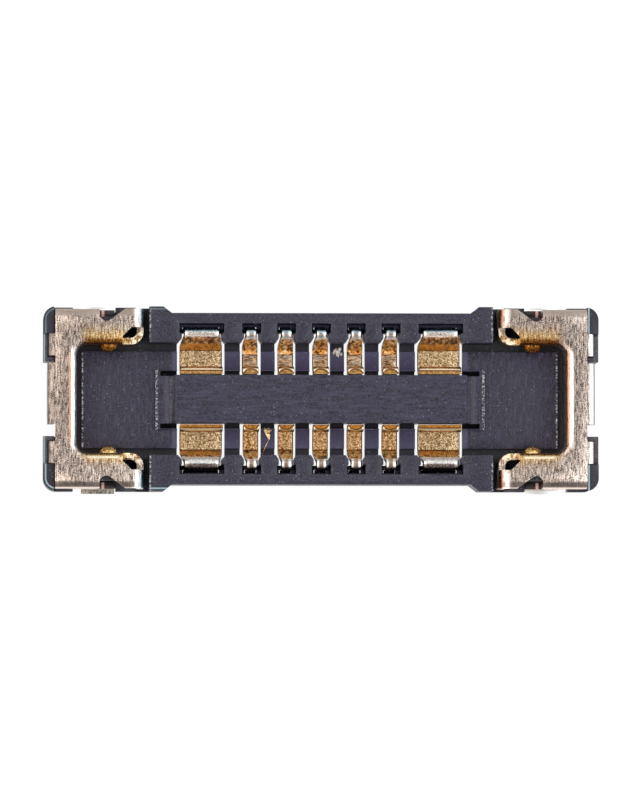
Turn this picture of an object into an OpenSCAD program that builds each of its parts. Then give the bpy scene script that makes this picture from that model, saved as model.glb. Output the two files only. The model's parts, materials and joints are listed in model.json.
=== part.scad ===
// Receptacle of a fine-pitch board-to-FPC connector, mating side up.
// X runs along the contact rows, Y across them, Z up. The origin is the centre of the
// seating plane, which the solder tails and feet touch.

/* [Contact rows] */
// Distance between neighbouring signal contacts
pitch = 0.35; // [0.32:0.01:0.40]
// Distance from the last signal contact to the power contact
power_pitch = 0.50; // [0.46:0.01:0.56]
// Width of a signal contact inside the cavity
signal_w = 0.158; // [0.14:0.002:0.17]
// Width of a signal contact where it passes over the wall
signal_neck_w = 0.114; // [0.10:0.002:0.12]
// Width of a signal contact where its barbs bite the wall slot
signal_barb_w = 0.19; // [0.17:0.01:0.20]
// Width of a power contact inside the cavity
power_w = 0.428; // [0.40:0.002:0.46]
// Width of a power contact where it passes over the wall
power_neck_w = 0.36; // [0.32:0.01:0.38]
// Width of a power contact where its barbs bite the wall slot
power_barb_w = 0.45; // [0.43:0.01:0.47]
// Open slit on each side of a contact in the cavity
slit_w = 0.026; // [0.015:0.001:0.03]
// Open slit on each side of a contact's neck
neck_slit_w = 0.02; // [0.01:0.002:0.024]

/* [Contact strip] */
// Thickness of the contact strip
strip_t = 0.05; // [0.04:0.005:0.055]
// Height of the top of the contact bend over the wall
crest_top = 0.50; // [0.46:0.01:0.52]
// Height of the underside of the contact in the cavity
strip_z = 0.055; // [0.04:0.005:0.07]
// Lean of the inner contact leg from upright, in degrees
leg_lean = 15; // [10:1:17]
// Height of the centre of the spring arm's contact bump
bump_z = 0.37; // [0.33:0.01:0.40]
// Radius at the middle of the strip in the bends at its tail and in the cavity
strip_bend_r = 0.05; // [0.04:0.005:0.06]
// Radius at the middle of the strip where it bends over the wall
crest_bend_r = 0.03; // [0.028:0.001:0.036]
// Radius at the middle of the strip in the contact bump
bump_bend_r = 0.03; // [0.028:0.001:0.036]
// Depth of the step coined into the tip of each spring arm
coin_depth = 0.02; // [0.01:0.002:0.024]
// Radius of the coined step's edge on a signal contact
coin_r = 0.095; // [0.085:0.005:0.12]
// Length of the coined step from the tip
coin_l = 0.06; // [0.05:0.002:0.064]
// Height of the lower edge of the barbs
barb_z = 0.14; // [0.12:0.01:0.18]
// Height of the barbs
barb_h = 0.16; // [0.10:0.01:0.18]
// Length over which a contact narrows to its neck
shoulder_l = 0.045; // [0.035:0.005:0.05]

/* [Housing] */
// Overall length over the corner lugs
overall_l = 5.58; // [5.5:0.02:5.9]
// Width of the housing between its wide ends
mid_w = 1.72; // [1.68:0.02:1.90]
// How far each wide end stands out beyond the middle, on each side
end_step = 0.065; // [0.06:0.005:0.10]
// Thickness of the long side walls
wall_t = 0.295; // [0.28:0.005:0.31]
// Thickness of plastic outside the contact slots
outer_skin = 0.103; // [0.09:0.005:0.11]
// Gap from a contact to the outer end of its slot
slot_gap = 0.047; // [0.035:0.002:0.05]
// Height of the long side walls
wall_top = 0.52; // [0.50:0.01:0.56]
// Height of the housing's underside above the seating plane
standoff = 0.02; // [0.01:0.005:0.03]
// Thickness of plastic under the grooves of the cavity
skin_t = 0.05; // [0.04:0.005:0.06]
// Height of the cavity floor
floor_top = 0.16; // [0.14:0.01:0.20]
// Width of the groove between the cavity floor and a long wall
groove_w = 0.077; // [0.07:0.001:0.10]
// Width of the groove between the cavity floor and a hold-down's bar
end_groove_w = 0.057; // [0.05:0.001:0.08]
// Width of the centre island
island_w = 0.48; // [0.44:0.01:0.50]
// Height of the centre island
island_top = 0.50; // [0.46:0.01:0.52]
// Length of island beyond the power contacts
island_over = 0.046; // [0.036:0.002:0.06]
// Run of the sloped end faces of the island
island_slope = 0.05; // [0.02:0.005:0.06]
// Width of the groove along each side of the island
island_groove_w = 0.05; // [0.03:0.005:0.06]
// Length of the island's side grooves beyond the island
island_groove_over = 0.15; // [0.10:0.01:0.17]
// Length of the low step at each end of the island
step_l = 0.15; // [0.12:0.01:0.18]
// Height of the low steps at the ends of the island
step_top = 0.22; // [0.20:0.01:0.26]
// Width of the low steps at the ends of the island
step_w = 0.60; // [0.58:0.01:0.64]
// Length of the narrow middle beyond the power contacts
mid_over = 0.086; // [0.08:0.002:0.12]
// Length of the full-height block beside each contact row
block_l = 0.225; // [0.18:0.005:0.24]
// Length of the corner chamfer where the housing widens
widen_l = 0.085; // [0.05:0.005:0.10]
// Outer corner radius of the lugs
lug_r = 0.13; // [0.10:0.01:0.16]
// Height of the corner lugs
lug_top = 0.50; // [0.45:0.01:0.51]
// Height of the thin rails that run inwards from the lugs
rail_top = 0.45; // [0.40:0.01:0.48]
// Thickness of the lug rails
rail_t = 0.045; // [0.04:0.005:0.06]
// Distance from the centre line to the tip of a lug rail
rail_y = 0.375; // [0.36:0.005:0.39]
// Width of the hook at the tip of a lug rail
hook_w = 0.045; // [0.035:0.005:0.055]
// Gap from a solder leg to the lug beside it
lug_gap = 0.085; // [0.05:0.005:0.10]
// Distance from the centre line to the thick part of a lug
lug_y = 0.655; // [0.64:0.005:0.70]
// Height of the skirt round the ends
skirt_top = 0.24; // [0.20:0.01:0.26]

/* [Hold-downs] */
// Thickness of the hold-down sheet
sheet_t = 0.065; // [0.055:0.005:0.07]
// Outer radius of the folds
fold_r = 0.08; // [0.075:0.005:0.09]
// Outer radius of the fold at the end of each arm
arm_fold_r = 0.12; // [0.10:0.01:0.13]
// Width of the bar across the end, from its cavity face to its flat outer edge
bar_w = 0.213; // [0.20:0.01:0.24]
// Corner radius of the cavity face between the bar and an arm
corner_r = 0.12; // [0.10:0.01:0.14]
// Radius of the curl that joins an arm's two flanges, on its cavity face
curl_r = 0.13; // [0.12:0.01:0.14]
// Height of the lower edge of the flanges in the cavity
flange_z = 0.10; // [0.09:0.01:0.12]
// Height of the lower edge of the flanges outside
outer_flange_z = 0.28; // [0.26:0.01:0.32]
// How far the inner flanges stand out from the long walls into the cavity
flange_proud = 0.02; // [0.01:0.002:0.03]
// Width of the housing lip seen outside the long flanges
lip_w = 0.025; // [0.02:0.005:0.035]
// Gap from the housing block to the end of an arm
arm_gap = 0.06; // [0.05:0.005:0.08]
// Length of the low stretch of an inner flange between its curl and its fold
low_l = 0.08; // [0.06:0.01:0.09]
// Distance from an arm's end to the sloped edge beside its notch
slope_at = 0.18; // [0.16:0.01:0.20]
// Distance from an arm's end to its notch
notch_at = 0.305; // [0.29:0.005:0.32]
// Width of the notch at the head of each solder leg
notch_w = 0.135; // [0.115:0.005:0.145]
// Depth of that notch from the outer face
notch_depth = 0.125; // [0.10:0.005:0.14]
// Width of the upper part of a solder leg
leg_w = 0.18; // [0.15:0.01:0.22]
// How far a solder foot reaches along its arm beside the leg
foot_along = 0.155; // [0.12:0.005:0.16]
// Height of the solder foot's wide part
foot_h = 0.22; // [0.18:0.01:0.24]
// How far a solder foot reaches out from its leg
foot_out = 0.045; // [0.04:0.005:0.07]
// Distance from an arm's end to its locking bump
lock_at = 0.35; // [0.33:0.01:0.36]
// Reach of the locking bumps into the cavity
lock_out = 0.072; // [0.05:0.002:0.08]
// Radius of the locking bumps
lock_r = 0.10; // [0.09:0.005:0.11]
// Height of the middle of the locking bumps
lock_z = 0.33; // [0.30:0.01:0.36]
// Height of the locking bumps from their lower to their upper edge
lock_h = 0.20; // [0.16:0.01:0.22]
// Bevel on the edges of the locking bumps
lock_bevel = 0.05; // [0.03:0.005:0.06]
// How far the end flange stands inside the lugs
end_flange_in = 0.04; // [0.03:0.005:0.05]
// Width of the flange folded down at the end between the lugs
end_flange_w = 0.61; // [0.56:0.01:0.64]
// Distance of that flange's middle from the centre line
end_flange_y = 0.05; // [0:0.01:0.05]
// Width of the end flange's solder leg
end_leg_w = 0.46; // [0.40:0.01:0.54]

/* [Fits] */
// Clearance between the metal and the housing
clearance = 0.005; // [0.002:0.001:0.008]
// Gap from a spring arm to the island
island_gap = 0.008; // [0.005:0.001:0.015]

/* [Hidden] */
$fn = 48;
bend_steps = 9;
row_count = 5;
middle_column = (row_count + 1) / 2;
lap = 0.01;
over = 0.1;

// Places across the rows
cavity_y = mid_w / 2 - wall_t;
slot_y = mid_w / 2 - outer_skin;
leg_y = slot_y - slot_gap;
end_y = mid_w / 2 + end_step;
floor_y = cavity_y - groove_w;
island_y = island_w / 2;
hold_y = end_y - lip_w;
flange_y = cavity_y - flange_proud;
hold_back_y = flange_y + fold_r;
hold_front_y = hold_y - fold_r;

// Places along the rows
power_x = (middle_column - 1) * pitch + power_pitch;
row_end = power_x + power_w / 2;
island_x = row_end + island_over;
step_x = island_x + island_slope + step_l;
mid_x = row_end + mid_over;
block_x = mid_x + block_l;
arm_x = block_x + arm_gap;
rail_x = overall_l / 2 - rail_t;
tab_x = rail_x - 2 * clearance;
plate_x = tab_x - sheet_t;
bar_x = plate_x - bar_w;
floor_x = bar_x - end_groove_w;
wall_x = plate_x - clearance;
wall_back_x = bar_x + fold_r;
end_flange_x = overall_l / 2 - end_flange_in;

// Heights
plate_top = wall_top + sheet_t;
groove_z = standoff + skin_t;
curl_top = plate_top - arm_fold_r;

// Places along an arm of a hold-down
slope_x = arm_x + slope_at;
notch_x = arm_x + notch_at;
leg_x = notch_x + notch_w;
foot_x = leg_x - foot_along;
lug_end_x = leg_x + leg_w + lug_gap;
window_x = arm_x + curl_r + low_l;
window_y = flange_y + curl_r + low_l / 2;
lock_x = arm_x + lock_at;

// Bends of the contact strip as [centre, middle radius, first angle, last angle], in Y and Z
half_t = strip_t / 2;
tail_centre = [leg_y - half_t + strip_bend_r, half_t + strip_bend_r];
crest_centre = [leg_y - half_t - crest_bend_r, crest_top - half_t - crest_bend_r];
bend_z = strip_z + half_t + strip_bend_r;
leg_top = crest_centre + crest_bend_r * [-cos(leg_lean), sin(leg_lean)];
leg_run = (leg_top[1] - bend_z + strip_bend_r * sin(leg_lean)) / cos(leg_lean);
toe_centre = [leg_top[0] - leg_run * sin(leg_lean) - strip_bend_r * cos(leg_lean), bend_z];
tip_y = island_y + island_gap;
tip_turn = 120;
heel_centre = [tip_y + half_t + strip_bend_r, bend_z];
bump_centre = [tip_y - (bump_bend_r + half_t) * cos(tip_turn), bump_z];
arm_top = bump_z + bump_bend_r + half_t;
arm_span = bump_centre - heel_centre;
arm_lean = 90 - atan2(arm_span[1], arm_span[0]) + asin((strip_bend_r + bump_bend_r) / norm(arm_span));
strip_bends = [
    [tail_centre, strip_bend_r, 270, 180],
    [crest_centre, crest_bend_r, 0, 180 - leg_lean],
    [toe_centre, strip_bend_r, 360 - leg_lean, 270],
    [heel_centre, strip_bend_r, 270, 180 - arm_lean],
    [bump_centre, bump_bend_r, -arm_lean, tip_turn]
];

// Points of an arc, both ends included
function arc(centre, radius, from, to) =
    [for (i = [0:bend_steps]) let (a = from + (to - from) * i / bend_steps)
        centre + radius * [cos(a), sin(a)]];

// One side of a bent strip, a shift away from its middle line
function strip_side(bends, shift) =
    [for (b = bends) each arc(b[0], b[1] - shift * sign(b[3] - b[2]), b[2], b[3])];

function reversed(points) = [for (i = [len(points) - 1:-1:0]) points[i]];

// Repeats a shape in all four corners
module four_corners() {
    for (along = [0, 1], across = [0, 1])
        mirror([along, 0, 0]) mirror([0, across, 0]) children();
}

// Repeats a shape on both sides of the centre line
module both_sides() {
    for (across = [0, 1])
        mirror([0, across, 0]) children();
}

// A block between two corner points
module block(low, high) {
    translate(low) cube(high - low);
}

// A plan outline raised between two heights
module raised(from, to) {
    translate([0, 0, from]) linear_extrude(to - from) children();
}

// Puts a shape at every contact of one kind in both rows
module at_signal_contacts() {
    both_sides()
        for (column = [1:row_count])
            translate([(column - middle_column) * pitch, 0, 0]) children();
}

module at_power_contacts() {
    four_corners() translate([power_x, 0, 0]) children();
}

// The side view of every contact, from its tail to the tip of its spring arm
module contact_profile() {
    tail_y = mid_w / 2;
    under = concat([[tail_y, 0]], strip_side(strip_bends, half_t));
    upper = concat([[tail_y, strip_t]], strip_side(strip_bends, -half_t));
    polygon(concat(under, reversed(upper)));
}

// Plan of a contact: full width in the cavity, a narrow neck over the wall
module contact_plan(full_w, neck_w) {
    shoulder_y = cavity_y - slit_w / 4;
    neck_y = shoulder_y + shoulder_l;
    polygon([
        [-full_w / 2, 0], [full_w / 2, 0],
        [full_w / 2, shoulder_y], [neck_w / 2, neck_y], [neck_w / 2, mid_w],
        [-neck_w / 2, mid_w], [-neck_w / 2, neck_y], [-full_w / 2, shoulder_y]
    ]);
}

// The formed strip, with barbs that bite the sides of the wall slot
module contact_strip(full_w, neck_w, barb_w) {
    intersection() {
        rotate([90, 0, 90]) linear_extrude(full_w, center = true) contact_profile();
        raised(-over, wall_top + over) contact_plan(full_w, neck_w);
    }
    block([-barb_w / 2, leg_y - strip_t, barb_z], [barb_w / 2, leg_y, barb_z + barb_h]);
}

// A signal contact's tip is coined to a curved step
module signal_contact(column, row) {
    color("goldenrod")
        translate([(column - middle_column) * pitch, 0, 0]) mirror([0, row < 0 ? 1 : 0, 0])
            difference() {
                contact_strip(signal_w, signal_neck_w, signal_barb_w);
                translate([0, tip_y + coin_l - coin_r, arm_top - coin_depth]) cylinder(r = coin_r, h = over);
            }
}

// A power contact's tip is coined to a straight step
module power_contact(side, row) {
    color("goldenrod")
        translate([side * power_x, 0, 0]) mirror([0, row < 0 ? 1 : 0, 0])
            difference() {
                contact_strip(power_w, power_neck_w, power_barb_w);
                block(
                    [-power_w / 2 - lap, 0, arm_top - coin_depth],
                    [power_w / 2 + lap, tip_y + coin_l * 3 / 4, arm_top + over]
                );
            }
}

// Half plan of the wide ends of the housing, to the outside of the lugs
module end_plan() {
    lug_x = overall_l / 2;
    polygon(concat(
        [[block_x - lap, 0], [wall_x, 0], [wall_x, rail_y], [lug_x, rail_y]],
        arc([lug_x - lug_r, end_y - lug_r], lug_r, 0, 90),
        [[block_x - lap, end_y]]
    ));
}

// Quarter plan of the middle of the housing
module middle_plan() {
    polygon([
        [0, 0], [block_x, 0], [block_x, end_y], [mid_x + widen_l, end_y], [mid_x, mid_w / 2], [0, mid_w / 2]
    ]);
}

// Quarter plan of the cavity inside the walls
module cavity_plan() {
    square([arm_x + lap, cavity_y]);
    polygon(concat(
        [[arm_x, 0], [wall_back_x, 0]],
        arc([bar_x - corner_r, flange_y - corner_r], corner_r + fold_r, 0, 90),
        [[arm_x, hold_back_y]]
    ));
}

// Slot of one contact, open beside the strip; the plastic closes round the tail below the barbs
module contact_slot(full_w, neck_w, barb_w) {
    room_w = full_w + 2 * slit_w;
    neck_room_w = neck_w + 2 * neck_slit_w;
    tail_room_w = neck_w + 2 * clearance;
    neck_y = cavity_y + shoulder_l;
    back_y = leg_y - strip_t;
    raised(-over, wall_top + over) polygon([
        [-room_w / 2, island_y], [room_w / 2, island_y],
        [room_w / 2, cavity_y], [neck_room_w / 2, neck_y], [neck_room_w / 2, back_y + lap],
        [-neck_room_w / 2, back_y + lap], [-neck_room_w / 2, neck_y], [-room_w / 2, cavity_y]
    ]);
    block([-barb_w / 2, back_y, barb_z], [barb_w / 2, slot_y, wall_top + over]);
    block([-tail_room_w / 2, back_y, -over], [tail_room_w / 2, tail_centre[0], barb_z + lap]);
    block([-tail_room_w / 2, leg_y, -over], [tail_room_w / 2, mid_w / 2 + over, strip_t + clearance]);
}

// Corner lug with its rail and the hook at the rail's tip
module lug() {
    lug_x = overall_l / 2;
    rail_room = 2 * clearance;
    raised(standoff, lug_top) intersection() {
        end_plan();
        translate([plate_x + rail_room, lug_y]) square([1, 1]);
    }
    raised(standoff, rail_top) intersection() {
        end_plan();
        union() {
            translate([rail_x, rail_y]) square([lug_x - rail_x, lug_y + lap - rail_y]);
            translate([plate_x + rail_room, rail_y]) square([rail_t + sheet_t, hook_w]);
        }
    }
}

// Centre island with sloped ends, and a low step at each end
module island() {
    foot_x = island_x + island_slope;
    rotate([90, 0, 0]) linear_extrude(island_w, center = true)
        polygon([
            [-foot_x, standoff], [foot_x, standoff], [foot_x, floor_top],
            [island_x, island_top], [-island_x, island_top], [-foot_x, floor_top]
        ]);
    block([-step_x, -step_w / 2, standoff], [step_x, step_w / 2, step_top]);
}

module housing() {
    island_groove_x = island_x + island_groove_over;
    leg_room = 2 * clearance;
    color("#3c3a46") difference() {
        union() {
            four_corners() {
                raised(standoff, floor_top) {
                    middle_plan();
                    end_plan();
                }
                raised(standoff, wall_top) difference() {
                    union() {
                        middle_plan();
                        translate([block_x - lap, 0]) square([wall_x - block_x + lap, hold_front_y]);
                    }
                    cavity_plan();
                }
                raised(standoff, skirt_top) difference() {
                    end_plan();
                    cavity_plan();
                }
                lug();
            }
            island();
        }
        four_corners() {
            // Groove round the cavity floor
            raised(groove_z, wall_top) difference() {
                cavity_plan();
                square([floor_x, floor_y]);
            }
            // Groove along the island
            block([-over, island_y, groove_z], [island_groove_x, island_y + island_groove_w, floor_top + over]);
            // Slot for the end of a hold-down arm, room under its fold, and the pocket inside its curl
            block([block_x, floor_y, groove_z], [arm_x + sheet_t + clearance, end_y + over, wall_top + over]);
            block([block_x, floor_y, curl_top], [arm_x + arm_fold_r, end_y + over, wall_top + over]);
            block([arm_x, flange_y, groove_z], [window_x, window_y, wall_top + over]);
            // Recess for the solder leg
            block([foot_x - leg_room, hold_front_y, 0], [lug_end_x, end_y + over, wall_top]);
        }
        at_signal_contacts() contact_slot(signal_w, signal_neck_w, signal_barb_w);
        at_power_contacts() contact_slot(power_w, power_neck_w, power_barb_w);
    }
}

// Section of a folded edge: outer face on x = 0, flat plate towards +x
module fold_section(radius, low) {
    centre = [radius, plate_top - radius];
    polygon(concat(
        [[0, low]],
        arc(centre, radius, 180, 90),
        [[radius + lap, plate_top], [radius + lap, wall_top]],
        arc(centre, radius - sheet_t, 90, 180),
        [[sheet_t, low]]
    ));
}

// A folded edge that runs between two places, outer face on x = 0
module folded_edge(from, to, radius, low) {
    translate([0, to, 0]) rotate([90, 0, 0]) linear_extrude(to - from) fold_section(radius, low);
}

// Flat of a hold-down inside its folds, one half
module plate_plan() {
    opening_r = corner_r + fold_r;
    notch_r = notch_w / 2;
    notch_y = hold_y - notch_depth + notch_r;
    notch_centre = [notch_x + notch_r, notch_y];
    difference() {
        union() {
            translate([arm_x + arm_fold_r, 0]) square([plate_x - arm_x - arm_fold_r, hold_y - fold_r]);
            translate([arm_x + arm_fold_r, 0]) square([notch_x - arm_x - arm_fold_r, hold_y]);
        }
        polygon(concat(
            [[arm_x, -over], [bar_x + fold_r, -over]],
            arc([bar_x - corner_r, flange_y - corner_r], opening_r, 0, 90),
            [[arm_x, flange_y + fold_r]]
        ));
        polygon([
            [arm_x, flange_y], [window_x, flange_y], [window_x, flange_y + fold_r],
            [arm_x + arm_fold_r, window_y], [arm_x, window_y]
        ]);
        polygon(concat(
            [[leg_x, hold_y + over], [leg_x, notch_y]],
            arc(notch_centre, notch_r, 0, -130),
            [[slope_x, hold_y], [slope_x, hold_y + over]]
        ));
    }
}

// Solder leg that comes down from the long flange and turns out to a foot
module solder_leg() {
    turn_r = sheet_t / 2 + 0.02;
    middle_y = hold_y - sheet_t / 2;
    foot_y = end_y + foot_out - lip_w;
    leg_bends = [[[middle_y + turn_r, sheet_t / 2 + turn_r], turn_r, 180, 270]];
    profile = concat(
        [[hold_y, foot_h]], strip_side(leg_bends, sheet_t / 2), [[foot_y, sheet_t], [foot_y, 0]],
        reversed(strip_side(leg_bends, -sheet_t / 2)), [[hold_y - sheet_t, foot_h]]
    );
    translate([foot_x, 0, 0]) rotate([90, 0, 90]) linear_extrude(leg_x + leg_w - foot_x) polygon(profile);
    block([leg_x, hold_y - sheet_t, foot_h - lap], [leg_x + leg_w, hold_y, outer_flange_z + lap]);
}

// Locking bump pressed out of the inner flange
module lock_bump() {
    translate([lock_x, flange_y - lock_out + lock_r, lock_z]) rotate_extrude()
        polygon([
            [0, -lock_h / 2], [lock_r - lock_bevel, -lock_h / 2], [lock_r, lock_bevel - lock_h / 2],
            [lock_r, lock_h / 2 - lock_bevel], [lock_r - lock_bevel, lock_h / 2], [0, lock_h / 2]
        ]);
}

// One drawn and folded sheet: a bar across the end and two arms over the walls
module hold_down() {
    both_sides() {
        raised(wall_top, plate_top) plate_plan();
        // Inner flange along the arm, round the corner and half across the bar
        translate([0, flange_y, 0]) rotate([0, 0, 90])
            folded_edge(-(bar_x - corner_r), -window_x, fold_r, flange_z);
        translate([bar_x - corner_r, flange_y - corner_r, 0]) rotate_extrude(angle = 90)
            translate([corner_r, 0]) fold_section(fold_r, flange_z);
        translate([bar_x, 0, 0]) folded_edge(0, flange_y - corner_r, fold_r, flange_z);
        // Low stretch of the inner flange, the curl and the flange at the arm's end
        block([arm_x + curl_r, flange_y, flange_z], [window_x + lap, flange_y + sheet_t, curl_top]);
        translate([arm_x + curl_r, flange_y + curl_r, 0]) rotate([0, 0, 180]) rotate_extrude(angle = 90)
            translate([curl_r - sheet_t, flange_z]) square([sheet_t, curl_top - flange_z]);
        block([arm_x, flange_y + curl_r, flange_z], [arm_x + sheet_t, hold_y, curl_top]);
        translate([arm_x, 0, 0]) folded_edge(window_y, hold_y, arm_fold_r, curl_top - lap);
        // Outer flange with its solder leg
        translate([0, hold_y, 0]) rotate([0, 0, -90])
            folded_edge(leg_x, plate_x, fold_r, outer_flange_z);
        solder_leg();
        // Tab inside the lug's rail
        translate([tab_x, 0, 0]) mirror([1, 0, 0])
            folded_edge(rail_y + hook_w + 2 * clearance, lug_y - clearance, sheet_t, outer_flange_z);
        intersection() {
            lock_bump();
            block([0, 0, 0], [wall_x, flange_y + sheet_t, wall_top]);
        }
    }
    // Flange and solder leg at the end, between the lugs
    translate([end_flange_x, 0, 0]) mirror([1, 0, 0]) {
        translate([0, end_flange_y, 0]) {
            folded_edge(-end_flange_w / 2, end_flange_w / 2, end_flange_x - plate_x, outer_flange_z);
            block([0, -end_leg_w / 2, 0], [sheet_t, end_leg_w / 2, outer_flange_z + lap]);
        }
    }
}

module hold_down_right() {
    color("#b9aa96") hold_down();
}

module hold_down_left() {
    color("#b9aa96") mirror([1, 0, 0]) hold_down();
}

housing();
hold_down_left();
hold_down_right();
power_contact(-1, 1);  // power_contact_a1
power_contact(1, 1);  // power_contact_a2
power_contact(-1, -1);  // power_contact_b1
power_contact(1, -1);  // power_contact_b2
signal_contact(1, 1);  // signal_contact_a1
signal_contact(2, 1);  // signal_contact_a2
signal_contact(3, 1);  // signal_contact_a3
signal_contact(4, 1);  // signal_contact_a4
signal_contact(5, 1);  // signal_contact_a5
signal_contact(1, -1);  // signal_contact_b1
signal_contact(2, -1);  // signal_contact_b2
signal_contact(3, -1);  // signal_contact_b3
signal_contact(4, -1);  // signal_contact_b4
signal_contact(5, -1);  // signal_contact_b5
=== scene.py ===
import json
import math

import bpy
from mathutils import Matrix, Vector

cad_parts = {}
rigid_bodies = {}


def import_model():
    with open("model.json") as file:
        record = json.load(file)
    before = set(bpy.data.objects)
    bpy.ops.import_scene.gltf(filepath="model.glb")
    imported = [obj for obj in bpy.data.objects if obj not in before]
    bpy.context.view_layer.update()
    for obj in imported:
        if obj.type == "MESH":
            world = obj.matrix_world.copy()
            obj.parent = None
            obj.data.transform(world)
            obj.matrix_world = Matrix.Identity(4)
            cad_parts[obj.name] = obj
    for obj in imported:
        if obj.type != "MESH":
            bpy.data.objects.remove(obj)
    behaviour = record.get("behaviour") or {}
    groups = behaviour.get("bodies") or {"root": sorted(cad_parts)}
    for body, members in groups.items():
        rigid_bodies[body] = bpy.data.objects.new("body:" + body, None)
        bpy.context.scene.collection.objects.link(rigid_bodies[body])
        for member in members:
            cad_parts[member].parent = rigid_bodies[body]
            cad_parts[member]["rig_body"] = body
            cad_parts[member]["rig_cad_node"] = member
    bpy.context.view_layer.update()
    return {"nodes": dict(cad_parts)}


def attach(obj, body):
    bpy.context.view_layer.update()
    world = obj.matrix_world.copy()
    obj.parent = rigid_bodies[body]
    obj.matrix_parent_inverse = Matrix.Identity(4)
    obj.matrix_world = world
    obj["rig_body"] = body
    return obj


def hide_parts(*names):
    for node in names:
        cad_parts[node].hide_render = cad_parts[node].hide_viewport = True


bl_info = {
    "name": "Fine-pitch connector receptacle",
    "version": (1, 0, 0),
    "blender": (4, 5, 0),
    "location": "View3D > Sidebar > Connector",
    "description": "Dresses a fine-pitch board-to-FPC receptacle and lights it for a picture",
    "category": "Object",
}

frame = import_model()

MM = 0.001
# The turn of each row about Z
ROWS = {"a": 0, "b": math.pi}
SIGNAL_COLUMNS = (1, 2, 3, 4, 5)
MIDDLE_COLUMN = 3

# Sizes in millimetres. Widths are those of the strip, of its neck over the wall, and over its barbs
PITCH = 0.35
POWER_X = 1.2
SIGNAL_WIDTHS = (0.158, 0.114, 0.188)
POWER_WIDTHS = (0.428, 0.36, 0.448)
SHOULDER_Y, NECK_Y = 0.5585, 0.6035
COIN_EDGE, STRAIGHT_COIN_EDGE = 0.308, 0.293
COIN_LEVEL, COIN_RADIUS, CUTTER_DEPTH = 0.405, 0.095, 0.1
BARB_Y, BARB_Z, BARB_DEPTH, BARB_HEIGHT, BARB_ROUNDING = 0.685, 0.22, 0.042, 0.16, 0.006
FLOOR_TOP = 0.16
SHAVING_AT, WHISKER_AT, CRUMB_AT = (-0.523, -0.325, 0.18), (-0.545, -0.46, 0.19), (0.178, 0.485)
# How far each signal contact stands off its place in the row
SHIFTS = {"a1": -0.006, "a2": 0.003, "a3": 0.004, "a4": 0.002, "a5": 0.003,
          "b1": 0.002, "b2": 0.004, "b3": 0.004, "b4": 0.001, "b5": 0.003}
# A band from MIDDLE takes in the middle plane, and a band to OUTSIDE has no outer end on the part
MIDDLE, OUTSIDE = -0.1, 3.0

# Plating of each row and the light painted on it: where the leg, the bare crest and its outer side start,
# and the colours, which carry painted reflections, highlights and shade that differ by row
PLATING_AND_PAINTED_LIGHT = {
    "a": {"leg_from": 0.455, "crest": 0.588, "outer": 0.658, "weave": 0.35,
          "leg": (1.0, 0.42, 0.08), "glint": (1.0, 0.84, 0.56), "coin": (0.78, 0.42, 0.15),
          "rim": (1.0, 0.82, 0.60), "nickel": (0.84, 0.75, 0.68), "middle": (0.50, 0.42, 0.40),
          "outer_dark": (0.14, 0.21, 0.26), "outer_light": (0.50, 0.64, 0.72)},
    "b": {"leg_from": 0.500, "crest": 0.592, "outer": 0.695, "weave": 0.9,
          "leg": (1.0, 0.50, 0.12), "glint": (1.0, 0.78, 0.44), "coin": (0.72, 0.29, 0.06),
          "rim": (1.0, 0.78, 0.48), "nickel": (1.0, 0.95, 0.88), "middle": (0.34, 0.17, 0.09),
          "outer_dark": (0.03, 0.02, 0.02), "outer_light": (0.95, 0.85, 0.80)},
}
# The wide contacts have their plating and painted light in other places, and the foot of each leg is painted
# in an orange reflection of its own
WIDE_PLATING_AND_PAINTED_LIGHT = {
    "a": {"leg_from": 0.498, "crest": 0.616, "outer": 0.664, "weave": 0.9,
          "leg": (0.42, 0.17, 0.05), "foot": (1.0, 0.40, 0.06), "glint": (0.80, 0.50, 0.26)},
    "b": {"leg_from": 0.502, "crest": 0.572, "outer": 0.643,
          "leg": (0.80, 0.36, 0.08), "foot": (0.90, 0.36, 0.06), "outer_light": (0.36, 0.29, 0.26)},
}


# Selecting and small modelling steps

def metres(*parts):
    """Millimetres turned to metres."""
    return tuple(part * MM for part in parts)


def object_mode():
    if bpy.context.object is not None and bpy.context.object.mode != "OBJECT":
        bpy.ops.object.mode_set(mode="OBJECT")


def deselect():
    bpy.ops.object.select_all(action="DESELECT")


def pick(*objects):
    """Only these objects are selected, and the last one is active."""
    object_mode()
    deselect()
    for obj in objects:
        obj.select_set(True)
    bpy.context.view_layer.objects.active = objects[-1]


def added(name):
    """The object that an operator has just added, under its own name."""
    obj = bpy.context.object
    obj.name = name
    obj.data.name = name
    return obj


def edit(obj, action="DESELECT"):
    """Edit mode with no vertex selected, or with all of them."""
    pick(obj)
    bpy.ops.object.mode_set(mode="EDIT")
    bpy.ops.mesh.select_mode(type="VERT")
    bpy.ops.mesh.select_all(action=action)


def select_where(obj, test, kind="VERT"):
    """In edit mode, selects the vertices or edges that a test accepts."""
    bpy.ops.mesh.select_mode(type=kind)
    bpy.ops.mesh.select_all(action="DESELECT")
    bpy.ops.object.mode_set(mode="OBJECT")
    for part in obj.data.vertices if kind == "VERT" else obj.data.edges:
        if test(part):
            part.select = True
    bpy.ops.object.mode_set(mode="EDIT")


def place_here(obj):
    """Moves an object's place into its mesh."""
    pick(obj)
    bpy.ops.object.transform_apply(location=True, rotation=True, scale=True)


def apply_modifier(obj, kind, name, **values):
    pick(obj)
    modifier = obj.modifiers.new(name, kind)
    for key, value in values.items():
        setattr(modifier, key, value)
    bpy.ops.object.modifier_apply(modifier=name)


def combine(obj, other, operation):
    """Cuts another object out of this one or joins it on, and removes it."""
    apply_modifier(obj, "BOOLEAN", "Forming", operation=operation, object=other, solver="EXACT")
    bpy.data.objects.remove(other)


def smooth(obj, degrees):
    pick(obj)
    bpy.ops.object.shade_smooth_by_angle(angle=math.radians(degrees))


def copy_of(obj, name):
    pick(obj)
    bpy.ops.object.duplicate()
    return added(name)


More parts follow.
